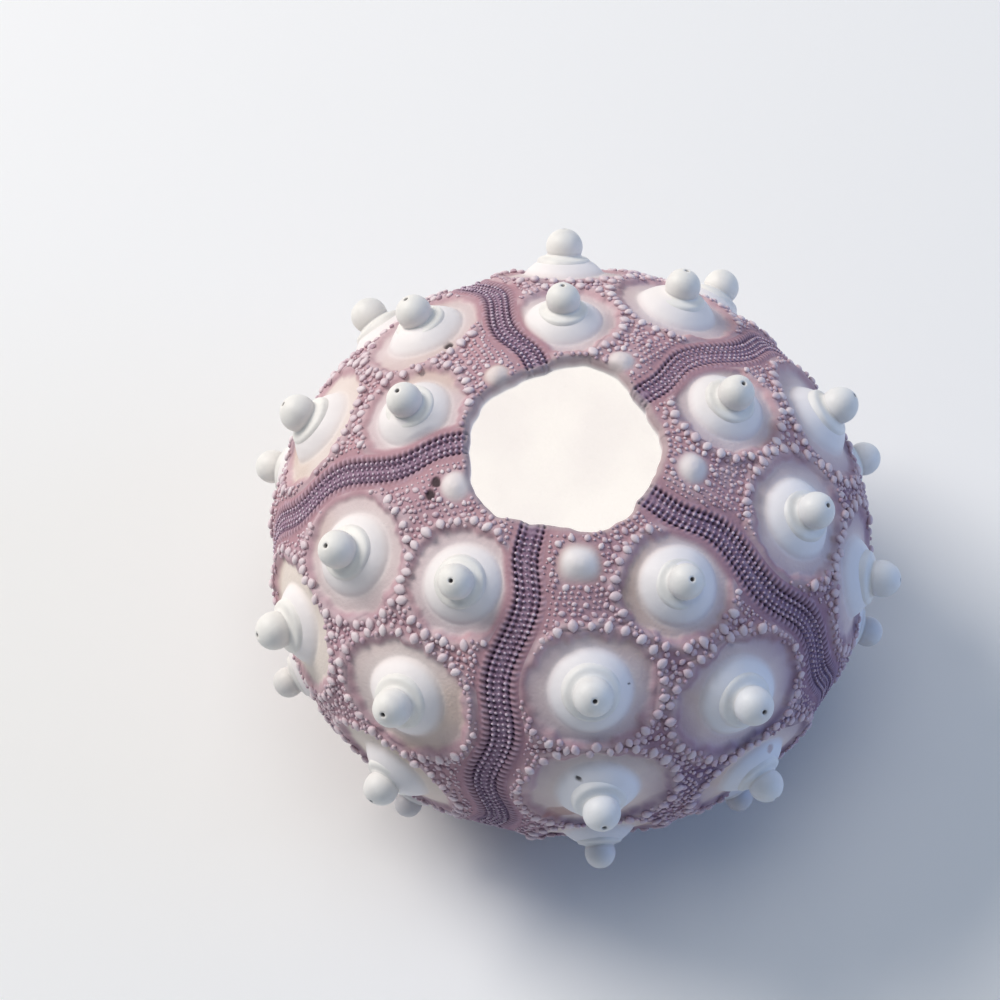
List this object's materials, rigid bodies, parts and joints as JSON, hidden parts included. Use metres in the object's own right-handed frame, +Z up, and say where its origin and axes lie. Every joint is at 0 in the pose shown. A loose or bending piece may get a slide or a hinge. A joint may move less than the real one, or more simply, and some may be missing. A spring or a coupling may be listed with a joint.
{
  "type": "sea urchin shell",
  "caption": "Bare hollow sea urchin shell, a flattened round with open top and mouth, sinuous pore bands and rows of knobbed tubercles.",
  "frame": {"origin": "on the shell's own axis, in the plane of the flat ring round the mouth that it rests on", "axes": "+Z up along the shell's axis through the mouth and the apical opening; -Y towards the front sector; +X to the right of the front"},
  "size_m": [0.0707, 0.0731, 0.0466],
  "materials": {
    "shell": "matt natural calcite: white tubercles and cream dishes on dusty mauve, with dark purple pore bands"
  },
  "bodies": {
    "root": {"urchin_shell": "shell"}
  },
  "joints": []
}
